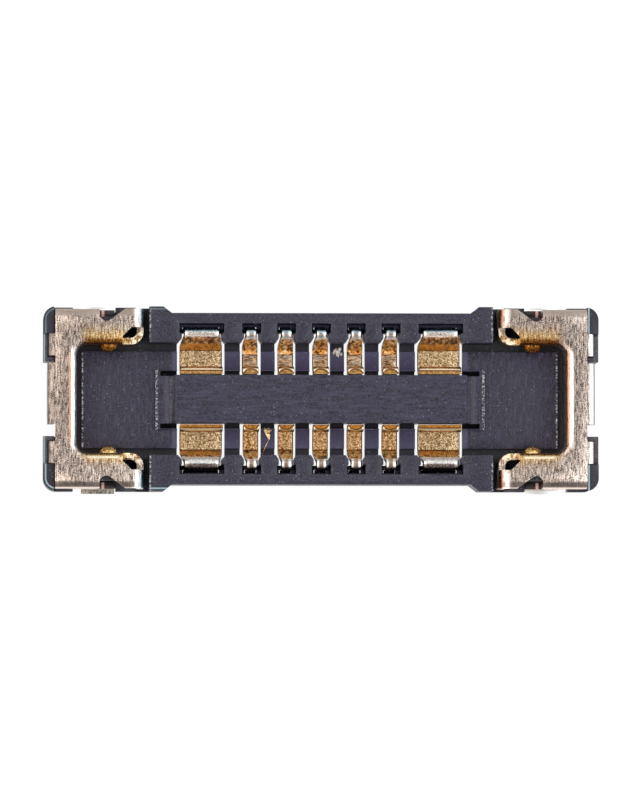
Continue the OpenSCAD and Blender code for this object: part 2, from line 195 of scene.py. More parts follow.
def block(name, middle, size):
    """A box given by its middle and its size in millimetres."""
    deselect()
    bpy.ops.mesh.primitive_cube_add(size=1, location=metres(*middle))
    obj = added(name)
    obj.scale = metres(*size)
    place_here(obj)
    return obj


def merged_copy(node, name):
    """A merged copy of a CAD node with whole flat faces, ready for rounding."""
    obj = copy_of(frame["nodes"][node], name)
    bpy.ops.object.parent_clear(type="CLEAR")
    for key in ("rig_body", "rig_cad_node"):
        del obj[key]
    obj.data.materials.clear()
    edit(obj, "SELECT")
    bpy.ops.mesh.remove_doubles(threshold=2e-7)
    bpy.ops.mesh.dissolve_degenerate(threshold=1e-7)
    bpy.ops.mesh.dissolve_limited(angle_limit=math.radians(0.4))
    object_mode()
    return obj


def finish_piece(obj, material, slot, *nodes):
    obj.data.materials.clear()
    obj.data.materials.append(material)
    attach(obj, "root")
    if nodes:
        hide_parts(*nodes)


# Shader node helpers

class Nodes:
    """Adds and joins nodes in one tree."""

    def __init__(self, tree):
        self.tree = tree
        self.column = 0

    def add(self, kind, values=None, links=None, **settings):
        node = self.tree.nodes.new(kind)
        self.column += 1
        node.location = (self.column * 180, 0)
        for key, value in settings.items():
            setattr(node, key, value)
        for key, value in (values or {}).items():
            node.inputs[key].default_value = value
        for key, source in (links or {}).items():
            self.tree.links.new(source, node.inputs[key])
        return node

    def fill(self, socket, value):
        """Sets a number or a colour on a socket, or joins an output to it."""
        if isinstance(value, (int, float)):
            socket.default_value = value
        elif isinstance(value, (tuple, list)):
            socket.default_value = (*value, 1.0)
        else:
            self.tree.links.new(value, socket)

    def math(self, operation, first, second=None, clamp=False):
        node = self.add("ShaderNodeMath", operation=operation, use_clamp=clamp)
        self.fill(node.inputs[0], first)
        if second is not None:
            self.fill(node.inputs[1], second)
        return node.outputs[0]

    def times(self, product, *others):
        for other in others:
            product = self.math("MULTIPLY", product, other)
        return product

    def above(self, value, level):
        """1 where a coordinate is past a level in millimetres."""
        return self.math("GREATER_THAN", value, level * MM)

    def below(self, value, level):
        """1 where a coordinate is short of a level in millimetres."""
        return self.math("LESS_THAN", value, level * MM)

    def mix(self, factor, first, second):
        node = self.add("ShaderNodeMix", data_type="RGBA")
        for number, value in ((0, factor), (6, first), (7, second)):
            self.fill(node.inputs[number], value)
        return node.outputs[2]

    def spread(self, value, low, high, to_low=0.0, to_high=1.0):
        node = self.add("ShaderNodeMapRange", {1: low, 2: high, 3: to_low, 4: to_high}, {0: value})
        return node.outputs[0]

    def spread_mm(self, value, low, high, to_low=0.0, to_high=1.0):
        """The same over a range of a coordinate in millimetres."""
        return self.spread(value, low * MM, high * MM, to_low, to_high)

    def stretched(self, vector, scale):
        return self.add("ShaderNodeMapping", {"Scale": scale}, {"Vector": vector}).outputs[0]

    def noise(self, vector, scale, detail=2.0, roughness=0.5, distortion=0.0):
        values = {"Detail": detail, "Roughness": roughness, "Distortion": distortion}
        node = self.add("ShaderNodeTexNoise", values, {"Vector": vector})
        self.fill(node.inputs["Scale"], scale)
        return node.outputs[0]


def new_group(name, inputs, outputs):
    """A shader node group with number sockets, and a vector socket where an input has no default."""
    group = bpy.data.node_groups.new(name, "ShaderNodeTree")
    for label, default in inputs.items():
        kind = "NodeSocketVector" if default is None else "NodeSocketFloat"
        socket = group.interface.new_socket(label, in_out="INPUT", socket_type=kind)
        if default is not None:
            socket.default_value = default
    for label in outputs:
        group.interface.new_socket(label, in_out="OUTPUT", socket_type="NodeSocketFloat")
    nodes = Nodes(group)
    return group, nodes, nodes.add("NodeGroupInput").outputs, nodes.add("NodeGroupOutput").inputs


def build_rolled_grain():
    """Pitted grain of a rolled and plated sheet, with short striations along Y."""
    group, nodes, given, out = new_group(
        "Rolled grain", {"Vector": None, "Grain size": 42000.0, "Striation": 0.4}, ("Grain", "Blotches"))
    place, size = given["Vector"], given["Grain size"]
    pits = nodes.noise(place, size, 1.0)
    lines = nodes.noise(nodes.stretched(place, (0.8, 0.13, 0.5)), size, 1.0)
    mixed = nodes.add("ShaderNodeMix", None, {0: given["Striation"], 2: pits, 3: lines})
    nodes.fill(out["Grain"], mixed.outputs[0])
    nodes.fill(out["Blotches"], nodes.noise(place, nodes.times(size, 0.25)))
    return group


def build_fibre_specks():
    """Pale glass-fibre specks and a fine mottle in moulded plastic."""
    group, nodes, given, out = new_group(
        "Fibre specks", {"Vector": None, "Speck spacing": 30000.0, "Speck size": 0.12}, ("Specks", "Mottle"))
    place, spacing = given["Vector"], given["Speck spacing"]
    cells = nodes.add("ShaderNodeTexVoronoi", {"Randomness": 1.0}, {"Vector": place, "Scale": spacing})
    near = nodes.math("LESS_THAN", cells.outputs["Distance"], given["Speck size"])
    chance = nodes.add("ShaderNodeSeparateColor", None, {0: cells.outputs["Color"]})
    kept = nodes.math("GREATER_THAN", chance.outputs[0], 0.82)
    nodes.fill(out["Specks"], nodes.times(near, kept))
    nodes.fill(out["Mottle"], nodes.noise(place, nodes.times(spacing, 1.7), 3.0, 0.65))
    return group


def build_band():
    """1 inside a band of one coordinate, mirrored about zero, falling off over a soft edge."""
    group, nodes, given, out = new_group(
        "Band", {"Value": 0.0, "From": 0.0, "To": 1.0, "Soft": 0.00001}, ("Mask",))
    size = nodes.math("ABSOLUTE", given["Value"])
    past = nodes.math("DIVIDE", nodes.math("SUBTRACT", size, given["From"]), given["Soft"], clamp=True)
    before = nodes.math("DIVIDE", nodes.math("SUBTRACT", given["To"], size), given["Soft"], clamp=True)
    nodes.fill(out["Mask"], nodes.times(past, before))
    return group


GROUPS = {}


def shared(name):
    builders = {"grain": build_rolled_grain, "specks": build_fibre_specks, "band": build_band}
    if name not in GROUPS:
        GROUPS[name] = builders[name]()
    return GROUPS[name]


def placed(nodes, name, values, links):
    """The outputs of a shared group that is placed in a material with its own values."""
    return nodes.add("ShaderNodeGroup", values, links, node_tree=shared(name)).outputs


def band(nodes, value, low, high, soft):
    ends = {"From": low * MM, "To": high * MM, "Soft": soft * MM}
    return placed(nodes, "band", ends, {"Value": value})[0]


def start_material(name):
    """A material with its helper, its Principled sockets, and the object's coordinates in metres."""
    material = bpy.data.materials.new(name)
    material.use_nodes = True
    nodes = Nodes(material.node_tree)
    shader = material.node_tree.nodes["Principled BSDF"].inputs
    place = nodes.add("ShaderNodeTexCoord").outputs["Object"]
    axes = nodes.add("ShaderNodeSeparateXYZ", None, {0: place}).outputs
    return material, nodes, shader, place, axes


def scaled(colour, *gains):
    """A colour made lighter or darker by one gain, or by a gain for each channel."""
    gains = gains * 3 if len(gains) == 1 else gains
    return tuple(min(1.0, part * gain) for part, gain in zip(colour, gains))


def bump(nodes, shader, height, distance):
    node = nodes.add("ShaderNodeBump", {"Strength": 1.0, "Distance": distance}, {"Height": height})
    nodes.fill(shader["Normal"], node.outputs[0])


# Moulded plastic

def painted_edge_glints(nodes, place, x, y, z):
    """Painted glints along the block ends, cavity floor ends, step ends and slopes of the island, as one
    gritty mask.
    """
    edge_glints = 0.0
    for x_ends, y_ends, z_ends, paleness in (
            ((1.705, 1.742), (0.57, 0.93), (0.49, 0.54), 1.0),
            ((2.380, 2.404), (MIDDLE, 0.49), (0.14, 0.18), 1.0),
            ((1.63, 1.672), (MIDDLE, 0.31), (0.18, 0.24), 1.0),
            ((1.455, 1.512), (MIDDLE, 0.235), (0.2, 0.54), 0.35)):
        box = nodes.times(band(nodes, x, *x_ends, 0.008), band(nodes, y, *y_ends, 0.01))
        box = nodes.times(box, band(nodes, z, *z_ends, 0.01), paleness)
        edge_glints = nodes.math("MAXIMUM", edge_glints, box)
    return nodes.times(edge_glints, nodes.spread(nodes.noise(place, 55000.0), 0.50, 0.60))


def lug_rim_highlights(nodes, x, y, z):
    """Painted highlights on the rims of the lugs: their outer edge on the left, the side beside the sheet on
    the right, and the outer edge of the rails on the left.
    """
    left, right = nodes.below(x, 0.0), nodes.above(x, 0.0)
    squares = []
    for value, start in ((x, 2.66), (y, 0.795)):
        past = nodes.math("SUBTRACT", nodes.math("ABSOLUTE", value), start * MM)
        past = nodes.math("MAXIMUM", past, 0.0)
        squares.append(nodes.times(past, past))
    reach = nodes.math("SQRT", nodes.math("ADD", *squares))
    left_rim = nodes.times(band(nodes, reach, 0.094, 0.116, 0.008), left)
    left_rim = nodes.times(left_rim, nodes.spread_mm(y, -0.8, 0.8, 1.0, 0.3))
    right_rim = nodes.times(band(nodes, x, 2.680, 2.702, 0.006), right)
    rims = nodes.math("MAXIMUM", left_rim, right_rim)
    rims = nodes.times(rims, nodes.above(z, 0.40), band(nodes, y, 0.64, OUTSIDE, 0.02))
    rail_edge = nodes.times(band(nodes, x, 2.768, 2.790, 0.006), band(nodes, y, 0.36, 0.66, 0.02), left, 0.7)
    return nodes.math("MAXIMUM", rims, rail_edge)


def plastic_material(settings):
    """Dark moulded plastic with fibre specks and moulding streaks, painted glints on its edges, painted
    highlights on the lug rims, painted light between the contacts and painted shade in its depths.
    """
    material, nodes, shader, place, (x, y, z) = start_material("Housing plastic")
    moulded = placed(nodes, "specks", {"Speck spacing": 36000.0, "Speck size": 0.2}, {"Vector": place})
    mottle = moulded["Mottle"]
    mottled = nodes.spread(mottle, 0.38, 0.62)
    plastic = settings.plastic[:3]
    colour = nodes.mix(mottled, scaled(plastic, 0.1), scaled(plastic, 1.75))
    # Fine streaks: along the island on its top, across the row on the cavity floor
    cavity = nodes.below(z, 0.24)
    island = nodes.times(band(nodes, y, MIDDLE, 0.26, 0.01), nodes.above(z, 0.46))
    floor = nodes.times(cavity, band(nodes, x, MIDDLE, 2.42, 0.01))
    streaks = []
    for mask, stretch, low in ((island, (0.12, 1.0, 0.4), 0.44), (floor, (1.0, 0.15, 0.4), 0.50)):
        lines = nodes.noise(nodes.stretched(place, stretch), 48000.0)
        streaks.append(nodes.times(mask, nodes.spread(lines, low, 0.66)))
    streak = nodes.math("MAXIMUM", *streaks)
    colour = nodes.mix(nodes.times(streak, 0.5), colour, scaled(plastic, 2.6))
    # Painted light: the floor between the contacts is painted paler against the shade of the walls and
    # contacts, and the lugs are darker
    painted_light_between = nodes.times(band(nodes, x, MIDDLE, 1.50, 0.02), cavity, 0.8)
    colour = nodes.mix(painted_light_between, colour, scaled(plastic, 3.5))
    ends = band(nodes, x, 2.66, OUTSIDE, 0.01)
    colour = nodes.mix(nodes.times(ends, nodes.above(z, 0.26)), colour, scaled(plastic, 0.55))
    # The low rails beside the lugs are paler
    paleness = nodes.mix(mottled, plastic, (0.105, 0.090, 0.105))
    colour = nodes.mix(nodes.times(ends, band(nodes, y, MIDDLE, 0.64, 0.01)), colour, paleness)
    # Painted shade: the grooves, and the wall under the notches of the hold-downs, are painted near black
    notches = nodes.times(band(nodes, x, 2.02, 2.30, 0.005), band(nodes, y, 0.76, OUTSIDE, 0.005))
    painted_depth_shade = nodes.math("MAXIMUM", nodes.below(z, 0.14), notches)
    colour = nodes.mix(nodes.times(painted_depth_shade, 0.85), colour, (0.002, 0.002, 0.003))
    # Painted highlights on the lug rims and the rail edge
    colour = nodes.mix(lug_rim_highlights(nodes, x, y, z), colour, (0.34, 0.46, 0.50))
    # Painted glints on the edges, and the pale fibre specks
    edge_glints = nodes.times(painted_edge_glints(nodes, place, x, y, z), 0.8)
    pale = nodes.math("MAXIMUM", edge_glints, nodes.times(moulded["Specks"], settings.specks))
    nodes.fill(shader["Base Color"], nodes.mix(pale, colour, (0.6, 0.6, 0.64)))
    nodes.fill(shader["Roughness"], nodes.spread(mottle, 0.3, 0.7, 0.30, 0.55))
    bump(nodes, shader, nodes.math("ADD", mottle, nodes.times(streak, 0.5)), settings.plastic_relief * MM)
    return material


# Plated contacts

def strip_distances(nodes, x, across, coin_radius):
    """Metres past the edge of the coined step, off the strip's middle, and past the flat of its neck."""
    if coin_radius:
        flat = 0.012
        along = nodes.math("PINGPONG", x, PITCH / 2 * MM)
        inward = nodes.math("SUBTRACT", across, (COIN_EDGE - coin_radius) * MM)
        squares = nodes.math("ADD", nodes.times(along, along), nodes.times(inward, inward))
        beyond = nodes.math("SUBTRACT", nodes.math("SQRT", squares), coin_radius * MM)
    else:
        flat = 0.132
        along = nodes.math("ABSOLUTE", nodes.math("SUBTRACT", nodes.math("ABSOLUTE", x), POWER_X * MM))
        beyond = nodes.math("SUBTRACT", across, STRAIGHT_COIN_EDGE * MM)
    return beyond, along, nodes.math("SUBTRACT", along, flat * MM)


def gold_material(name, settings, colour, grey_sheen, coin_radius, plating_and_light):
    """Gold plating on the spring with a pitted grain; a crumpled leg; bare nickel over the wall bend;
    painted reflections, highlights and shade on all of them.
    """
    material, nodes, shader, place, (x, y, z) = start_material(name)
    woven = nodes.stretched(place, (plating_and_light["weave"], 1.0, 1.0))
    grain = placed(nodes, "grain", {"Grain size": 70000.0, "Striation": 0.2}, {"Vector": woven})
    blotches = nodes.spread(grain["Blotches"], 0.36, 0.64)
    fine = nodes.spread(grain["Grain"], 0.34, 0.66)
    gold = nodes.mix(fine, scaled(colour, 0.32, 0.20, 0.08), scaled(colour, 1.45, 1.50, 1.75))
    # Painted reflection: grey patches over the gold, as strong as given for the row
    reflected_grey = nodes.mix(fine, (0.20, 0.13, 0.09), (0.85, 0.72, 0.62))
    gold = nodes.mix(nodes.times(blotches, grey_sheen), gold, reflected_grey)
    # The coined step is deeper in colour, a painted reflection that differs by row, with a painted highlight
    # on the rim round it and a line of painted shade inside its edge
    across = nodes.math("ABSOLUTE", y)
    beyond, along, past_flat = strip_distances(nodes, x, across, coin_radius)
    high = nodes.above(z, 0.36)
    coin = nodes.times(nodes.spread_mm(beyond, -0.002, 0.004, 1.0, 0.0), high)
    rim_highlight = nodes.times(nodes.spread_mm(beyond, 0.026, 0.040, 1.0, 0.0), high)
    inside = nodes.times(nodes.spread_mm(beyond, -0.014, -0.010), coin, 0.8)
    gold = nodes.mix(nodes.times(rim_highlight, 0.85), gold, plating_and_light["rim"])
    gold = nodes.mix(coin, gold, nodes.mix(fine, scaled(plating_and_light["coin"], 0.7), scaled(plating_and_light["coin"], 1.3)))
    gold = nodes.mix(inside, gold, (0.16, 0.06, 0.015))
    # The leg between the cavity and the wall is crumpled, with painted shade in its creases and painted
    # orange glints
    folds = nodes.noise(nodes.stretched(place, (1.0, 1.0, 0.25)), 30000.0, distortion=0.6)
    leg = band(nodes, y, plating_and_light["leg_from"], plating_and_light["crest"] + 0.02, 0.010)
    crease_shade_and_glints = nodes.mix(nodes.spread(folds, 0.42, 0.50), scaled(plating_and_light["leg"], 0.08), plating_and_light["leg"])
    crease_shade_and_glints = nodes.mix(nodes.spread(folds, 0.58, 0.62), crease_shade_and_glints, plating_and_light["glint"])
    if "foot" in plating_and_light:
        foot = nodes.mix(nodes.spread(folds, 0.40, 0.56), scaled(plating_and_light["foot"], 0.5), plating_and_light["foot"])
        crease_shade_and_glints = nodes.mix(nodes.spread_mm(across, 0.555, 0.565), foot, crease_shade_and_glints)
    gold = nodes.mix(leg, gold, crease_shade_and_glints)
    # Bare nickel over the wall, with painted reflections: a painted middle on the signal contacts, and
    # another painted tone on its outer side
    nickel = nodes.mix(fine, scaled(plating_and_light["nickel"], 0.6), scaled(plating_and_light["nickel"], 1.15))
    if coin_radius:
        nickel = nodes.mix(nodes.spread_mm(along, 0.016, 0.028, 0.8, 0.0), nickel, plating_and_light["middle"])
    outer = nodes.mix(fine, plating_and_light["outer_dark"], plating_and_light["outer_light"])
    nickel = nodes.mix(band(nodes, y, plating_and_light["outer"], OUTSIDE, 0.015), nickel, outer)
    crest = band(nodes, y, plating_and_light["crest"], OUTSIDE, 0.02)
    nodes.fill(shader["Base Color"], nodes.mix(crest, gold, nickel))
    # The steep leg and the start of the crest scatter the light
    dull = nodes.math("MAXIMUM", leg, band(nodes, y, plating_and_light["crest"], 0.622, 0.008))
    nodes.fill(shader["Metallic"], nodes.spread(dull, 0.0, 1.0, 1.0, 0.1))
    nodes.fill(shader["Roughness"], nodes.spread(grain["Grain"], 0.3, 0.7, 0.16, 0.36))
    calm = nodes.spread(nodes.math("MAXIMUM", rim_highlight, nodes.times(crest, 0.6)), 0.0, 1.0, 1.0, 0.3)
    relief = nodes.math("ADD", nodes.times(grain["Grain"], calm), nodes.times(leg, nodes.times(folds, 4.0)))
    # The bare crest is crowned: past the flat of its neck it falls by 4.5 mm for each square millimetre
    fall = nodes.math("POWER", nodes.math("MAXIMUM", past_flat, 0.0), 2.0)
    fall = nodes.times(fall, 4.5 / MM / (settings.contact_relief * MM), crest)
    bump(nodes, shader, nodes.math("SUBTRACT", relief, fall), settings.contact_relief * MM)
    return material


# Plated hold-downs

def silver_sheet(nodes, sheet, fine, fold, x, y, z):
    """Striated silvery sheet with painted shade and highlights on its drawn folds, flanges, bars and arm
    ends.
    """
    left, front = nodes.below(x, 0.0), nodes.below(y, 0.0)
    silver = nodes.mix(fine, scaled(sheet, 0.20), scaled(sheet, 1.95))
    # Painted shade: dimmer towards row a
    silver = nodes.mix(nodes.spread_mm(y, -0.85, -0.35, 0.0, 0.26), silver, (0.0, 0.0, 0.0))
    # The drawn folds outside are smooth: painted grey along row a, in painted shade along row b with a
    # painted highlight on the edge
    painted_light_tone = nodes.mix(front, scaled(sheet, 0.85), scaled(sheet, 0.40))
    painted_light_tone = nodes.mix(nodes.times(front, band(nodes, y, 0.886, OUTSIDE, 0.006)), painted_light_tone, scaled(sheet, 2.1))
    silver = nodes.mix(nodes.times(fold, 0.85), silver, painted_light_tone)
    # The flange is in painted shade at the left end, and in a painted highlight with a painted dark outline
    # at the right end
    shaded = nodes.mix(fine, scaled(sheet, 0.12), scaled(sheet, 0.75))
    silver = nodes.mix(nodes.spread_mm(x, -2.66, -2.70, 0.0, 0.85), silver, shaded)
    silver = nodes.mix(nodes.spread_mm(x, 2.68, 2.74), silver, (1.0, 0.98, 0.96))
    silver = nodes.mix(nodes.spread_mm(x, 2.731, 2.736), silver, (0.26, 0.22, 0.20))
    # Each bar turns down into the cavity over a fold with a painted highlight and a painted orange
    # reflection at its rim
    bar = nodes.times(band(nodes, y, MIDDLE, 0.52, 0.13), nodes.spread_mm(z, 0.46, 0.50))
    for on_left, on_right, strength, painted_light_tone in (
            ((2.43, 2.512), (2.498, 2.538), 0.9, (1.0, 1.0, 1.0)),
            ((2.514, 2.540), (2.450, 2.494), 0.8, (0.60, 0.26, 0.13))):
        strips = {0: left, 2: band(nodes, x, *on_right, 0.006), 3: band(nodes, x, *on_left, 0.006)}
        strip = nodes.add("ShaderNodeMix", None, strips).outputs[0]
        silver = nodes.mix(nodes.times(strip, bar, strength), silver, painted_light_tone)
    # The folded arm ends are painted with cool light on the left hold-down, warm light on the right one
    right = nodes.math("SUBTRACT", 1.0, left)
    arm_end = band(nodes, y, 0.70, OUTSIDE, 0.09)
    for side, start, end, strength, painted_light_tone in (
            (left, 1.830, 1.880, 0.45, (1.0, 1.0, 1.0)), (left, 1.780, 1.833, 0.75, (0.60, 0.86, 0.95)),
            (right, 1.838, 1.905, 0.45, (1.0, 0.97, 0.93)), (right, 1.780, 1.832, 0.85, (0.42, 0.16, 0.06))):
        strip = nodes.times(band(nodes, x, start, end, 0.018), arm_end, side, strength)
        silver = nodes.mix(strip, silver, painted_light_tone)
    return silver


def gold_flash(nodes, grain, fine, curl, x, y):
    """Gold along the arms' inner edges and on the curls, and the ragged mask of where it lies."""
    across = nodes.math("ABSOLUTE", y)
    gold = nodes.mix(fine, (0.30, 0.12, 0.02), (1.0, 0.72, 0.32))
    # Creased on the curls with painted shade and glints, a dark bronze of painted shade on the arms of row
    # a, with a painted gleam on the arms of row b
    crease_shade_and_glints = nodes.mix(nodes.spread(grain["Blotches"], 0.44, 0.56), (0.22, 0.09, 0.02), (1.0, 0.92, 0.70))
    gold = nodes.mix(nodes.times(curl, 0.8), gold, crease_shade_and_glints)
    shaded_bronze = nodes.mix(fine, (0.04, 0.012, 0.004), (0.55, 0.22, 0.04))
    arm = nodes.times(nodes.above(y, 0.0), band(nodes, x, 1.99, 2.5, 0.02))
    gold = nodes.mix(nodes.times(nodes.spread_mm(across, 0.585, 0.625, 1.0, 0.0), arm), gold, shaded_bronze)
    front_arm = nodes.times(nodes.below(y, 0.0), band(nodes, x, 2.02, 2.36, 0.03))
    gold = nodes.mix(nodes.times(band(nodes, y, 0.575, 0.605, 0.008), front_arm), gold, (1.0, 0.90, 0.66))
    # The flash ends along the striations, nearer to the edge on the side of row b
    ragged = nodes.times(nodes.math("SUBTRACT", grain["Grain"], 0.5), 0.40 * MM)
    nearer = nodes.spread_mm(y, -0.1, 0.1, -0.05 * MM, 0.0)
    edge = nodes.math("SUBTRACT", nodes.math("ADD", across, ragged), nearer)
    inner = nodes.spread_mm(edge, 0.61, 0.74, 1.0, 0.0)
    along = nodes.spread_mm(nodes.math("ABSOLUTE", x), 2.34, 2.44, 1.0, 0.0)
    return gold, nodes.times(inner, along)


def sheet_material(settings):
    """Plated hold-down sheet: striated and silvery on top, gold where it turns into the cavity."""
    material, nodes, shader, place, (x, y, z) = start_material("Hold-down sheet")
    grain = placed(nodes, "grain", {"Grain size": 92000.0, "Striation": 0.5}, {"Vector": place})
    fine = nodes.spread(grain["Grain"], 0.38, 0.62)
    fold = band(nodes, y, 0.825, OUTSIDE, 0.02)
    curl = band(nodes, x, 1.70, 1.985, 0.04)
    gold, flashed = gold_flash(nodes, grain, fine, curl, x, y)
    plated = nodes.mix(flashed, silver_sheet(nodes, settings.sheet[:3], fine, fold, x, y, z), gold)
    # The legs in the notches are painted dark as painted shade, with a painted copper-coloured glint at the
    # notch's end
    low = nodes.below(z, 0.47)
    legs = nodes.times(low, band(nodes, y, 0.70, 0.902, 0.004))
    notch_shade_and_glint = nodes.mix(band(nodes, x, 2.17, 2.205, 0.008), (0.012, 0.008, 0.008), (0.75, 0.42, 0.36))
    plated = nodes.mix(nodes.times(legs, band(nodes, x, 1.9, 2.26, 0.01)), plated, notch_shade_and_glint)
    # The feet are bright, but for the dull one at the front left
    feet = nodes.times(low, band(nodes, y, 0.904, OUTSIDE, 0.004))
    plated = nodes.mix(feet, plated, (1.0, 1.0, 1.0))
    front_left = nodes.times(nodes.below(x, 0.0), nodes.below(y, 0.0))
    dull = nodes.mix(fine, (0.06, 0.04, 0.035), (0.62, 0.54, 0.48))
    nodes.fill(shader["Base Color"], nodes.mix(nodes.times(feet, front_left), plated, dull))
    nodes.fill(shader["Metallic"], nodes.spread(legs, 0.0, 1.0, 1.0, 0.0))
    nodes.fill(shader["Roughness"], nodes.spread(grain["Grain"], 0.3, 0.7, 0.22, 0.42))
    # The folds are smooth, and the curls are creased
    calm = nodes.times(grain["Grain"], nodes.spread(fold, 0.0, 1.0, 1.0, 0.2))
    creases = nodes.times(grain["Blotches"], 5.0, curl, band(nodes, y, MIDDLE, 0.70, 0.04))
    bump(nodes, shader, nodes.math("ADD", calm, creases), settings.sheet_relief * MM)
    return material


# Sizes and colours that a user would change

def size_mm(name, description, default, low, high):
    return bpy.props.FloatProperty(name=name, description=f"{description} in millimetres",
                                   default=default, min=low, max=high)


def size_m(name, description, default, low, high):
    return bpy.props.FloatProperty(name=name, description=description, default=default,
                                   min=low, max=high, unit="LENGTH")


def lean(name, description, degrees):
    return bpy.props.FloatProperty(name=name, description=description, default=math.radians(degrees),
                                   min=0.0, max=1.5, subtype="ANGLE")


def amount(name, description, default, high):
    return bpy.props.FloatProperty(name=name, description=description, default=default, min=0.0, max=high)


def finish_colour(name, description, default):
    return bpy.props.FloatVectorProperty(name=name, description=description, default=(*default, 1.0),
                                         size=4, subtype="COLOR", min=0.0, max=1.0)


class ContactSettings(bpy.types.PropertyGroup):
    strip: size_mm("Strip thickness", "Thickness of the contact strip", 0.05, 0.03, 0.06)
    rounding: size_mm("Edge rounding", "Radius on the stamped edges of a contact", 0.015, 0.002, 0.024)
    bend_steps: bpy.props.IntProperty(name="Bend steps", description="Rings in each bend of the strip",
                                      default=8, min=4, max=16)
    gold: finish_colour("Gold", "Colour of the gold plating", (0.68, 0.42, 0.20))
    contact_relief: size_mm("Relief", "Depth of the rolled grain", 0.005, 0.0, 0.01)


class BodySettings(bpy.types.PropertyGroup):
    plastic: finish_colour("Plastic", "Colour of the moulded housing", (0.0225, 0.0205, 0.0375))
    plastic_relief: size_mm("Plastic relief", "Depth of the moulded texture", 0.002, 0.0, 0.01)
    specks: amount("Specks", "Strength of the pale fibre specks", 0.22, 1.0)
    plastic_edge: size_mm("Plastic edge", "Radius on the long edges of the housing", 0.007, 0.001, 0.02)
    sheet: finish_colour("Sheet", "Colour of the plated hold-downs", (0.475, 0.385, 0.335))
    sheet_relief: size_mm("Sheet relief", "Depth of the sheet's sandy grain", 0.004, 0.0, 0.01)
    sheet_edge: size_mm("Sheet edge", "Radius on the cut edges of the sheet", 0.008, 0.001, 0.02)


class StageSettings(bpy.types.PropertyGroup):
    distance: size_m("Camera distance", "Distance from the camera to the object", 0.08, 0.02, 0.5)
    view_height: size_m("View height", "Height of the picture at the object", 0.008048, 0.002, 0.05)
    lean_front: lean("Lean to the front", "Lean of the camera from upright towards row b", 2.2)
    lean_left: lean("Lean to the left", "Lean of the camera from upright towards the left end", 2.5)
    lamp_height: size_m("Lamp height", "Height of the soft box overhead", 0.12, 0.02, 0.5)
    lamp_size: size_m("Lamp size", "Side of the soft box overhead", 0.06, 0.02, 0.3)
    top_light: amount("Top lamp", "Brightness of the soft box overhead", 9.0, 40.0)
    sky: amount("Sky", "Even light from all round", 0.40, 2.0)
    zenith: amount("Overhead reflection", "Brightness that level metal mirrors", 0.46, 2.0)
    side_light: amount("Side boxes", "Brightness of the soft boxes beside the ends", 2.4, 20.0)
    rear_light: amount("Rear box", "Brightness of the soft box behind row a", 0.55, 20.0)
    front_light: amount("Front", "Brightness of the room in front of row b", 0.42, 20.0)
    floor_glow: amount("Floor", "Brightness of the floor to the camera", 0.9, 1.0)


# The bent contacts

def on_circle(centre, radius, degrees):
    angle = math.radians(degrees)
    return centre[0] + radius * math.cos(angle), centre[1] + radius * math.sin(angle)


def strip_path(strip):
    """Start point and bends of a contact in Y and Z millimetres.

    A bend is given by its centre, the radius of the strip's middle, and its first and last angle in degrees.
    """
    half = strip / 2
    tail_end, leg_y, crest_top, floor_z, tip_y, leg_lean = 0.86, 0.71, 0.50, 0.055, 0.248, 15.0
    bend, crest_bend, bump_bend, bump_z, tip_turn = 0.05, 0.03, 0.03, 0.37, 120.0
    low_z = floor_z + half + bend
    tail = (leg_y - half + bend, half + bend)
    crest = (leg_y - half - crest_bend, crest_top - half - crest_bend)
    c, s = math.cos(math.radians(leg_lean)), math.sin(math.radians(leg_lean))
    top = (crest[0] - crest_bend * c, crest[1] + crest_bend * s)
    run = (top[1] - low_z + bend * s) / c
    toe = (top[0] - run * s - bend * c, low_z)
    heel = (tip_y + half + bend, low_z)
    knob = (tip_y - (bump_bend + half) * math.cos(math.radians(tip_turn)), bump_z)
    # The spring arm touches both of its bends without a kink
    span = (knob[0] - heel[0], knob[1] - heel[1])
    rise = math.degrees(math.atan2(span[1], span[0]))
    arm_lean = 90 - rise + math.degrees(math.asin((bend + bump_bend) / math.hypot(*span)))
    return (tail_end, half), [
        (tail, bend, 270, 180), (crest, crest_bend, 0, 180 - leg_lean), (toe, bend, 360 - leg_lean, 270),
        (heel, bend, 270, 180 - arm_lean), (knob, bump_bend, -arm_lean, tip_turn),
    ]


